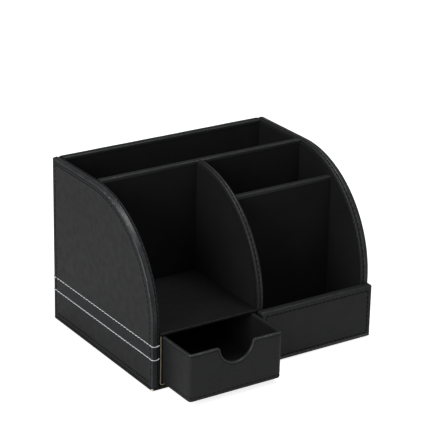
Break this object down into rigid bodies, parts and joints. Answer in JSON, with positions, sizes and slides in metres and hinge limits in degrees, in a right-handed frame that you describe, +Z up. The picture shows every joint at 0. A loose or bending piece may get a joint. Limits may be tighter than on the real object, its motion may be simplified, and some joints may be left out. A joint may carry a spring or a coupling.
{
  "type": "desk organizer with drawer",
  "caption": "Desk organizer of leather-covered boards with curved sides, a letter slot, a shelf, pen and phone compartments and a pull-out drawer with a finger notch.",
  "frame": {"origin": "on the desk, at the centre of the felt under the body", "axes": "+X to the right, +Y to the back, +Z up; the drawer opens towards -Y"},
  "size_m": [0.201, 0.1904, 0.139],
  "materials": {
    "board": "raw fibreboard",
    "leather": "fine grain, low sheen",
    "lining": "fine grain, low sheen",
    "felt": "felt",
    "card": "raw grey-brown card",
    "white_thread": "twisted thread",
    "dark_thread": "twisted thread"
  },
  "bodies": {
    "case": {"base_board": "board", "base_cover": "leather", "base_felt": "felt", "left_side_board": "board", "left_side_cover": "leather", "left_side_lining": "lining", "right_side_board": "board", "right_side_cover": "leather", "right_side_lining": "lining", "back_board": "board", "back_cover": "leather", "slot_wall_board": "board", "slot_wall_cover": "leather", "divider_board": "board", "divider_cover": "leather", "divider_lining": "lining", "pen_wall_board": "board", "pen_wall_cover": "leather", "front_board": "board", "front_cover": "leather", "drawer_sleeve": "card", "shelf_cover": "leather", "left_row_high": "white_thread", "left_row_low": "white_thread", "right_row_high": "white_thread", "right_row_low": "white_thread", "left_edge_stitches": "dark_thread", "right_edge_stitches": "dark_thread", "divider_stitches": "dark_thread"},
    "drawer": {"drawer_front_board": "board", "drawer_back_board": "board", "drawer_left_board": "board", "drawer_right_board": "board", "drawer_bottom_board": "board", "drawer_cover": "leather", "drawer_lining": "lining"}
  },
  "joints": [
    {"name": "drawer_slide", "type": "slide", "parent": "case", "child": "drawer", "axis": [0, -1, 0], "range_m": [-0.037, 0.025]}
  ]
}
